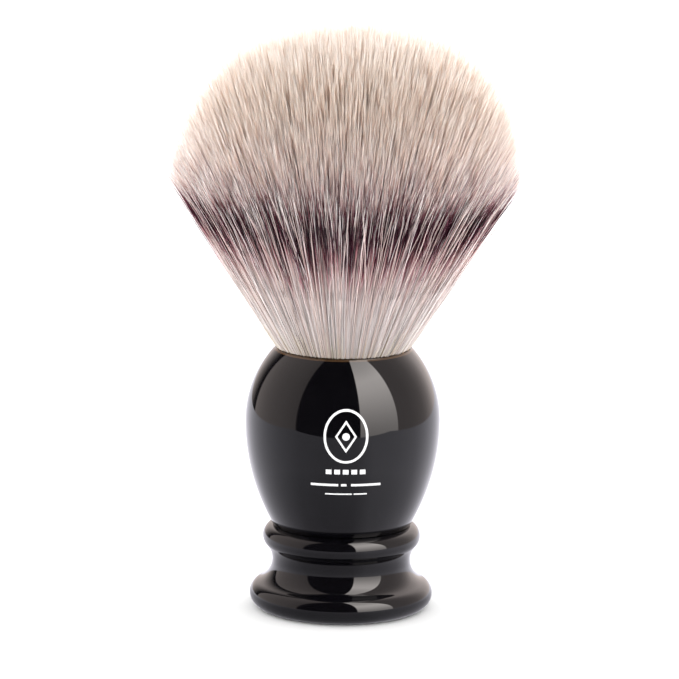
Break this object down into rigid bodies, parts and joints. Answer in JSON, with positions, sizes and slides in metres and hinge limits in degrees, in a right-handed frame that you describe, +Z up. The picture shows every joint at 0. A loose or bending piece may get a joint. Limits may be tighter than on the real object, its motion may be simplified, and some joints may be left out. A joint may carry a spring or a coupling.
{
  "type": "shaving brush",
  "caption": "Free-standing shaving brush: a turned bulb-and-foot resin handle with a domed, banded tuft of soft fibres that bends and springs back.",
  "frame": {"origin": "centre of the ring that the foot stands on, on the surface that the brush stands on", "axes": "+Z up along the handle's axis to the tuft; -Y is the printed front"},
  "size_m": [0.0558, 0.0558, 0.098],
  "materials": {
    "handle_resin": "polished",
    "print": "satin",
    "adhesive": "gloss",
    "ferrule_plastic": "satin",
    "potting_resin": "gloss",
    "cord": "matte",
    "fibre": "satin"
  },
  "bodies": {
    "handle": {"handle": "handle_resin", "socket_adhesive": "adhesive", "knot_ferrule": "ferrule_plastic", "potting_plug": "potting_resin", "binding_cord": "cord", "tuft_root": "fibre"},
    "tuft_lower": {"tuft_mid": "fibre"},
    "tuft_upper": {"tuft_tip": "fibre"}
  },
  "joints": [
    {"name": "bend_side_to_side", "type": "hinge", "parent": "handle", "child": "tuft_lower", "pos_m": [0, 0, 0.0499], "axis": [0, 1, 0], "range_deg": [-25, 25], "stiffness_Nm_per_rad": 0.12},
    {"name": "bend_fore_and_aft", "type": "hinge", "parent": "tuft_lower", "child": "tuft_upper", "pos_m": [0, 0, 0.0619], "axis": [1, 0, 0], "range_deg": [-20, 20], "stiffness_Nm_per_rad": 0.12}
  ]
}
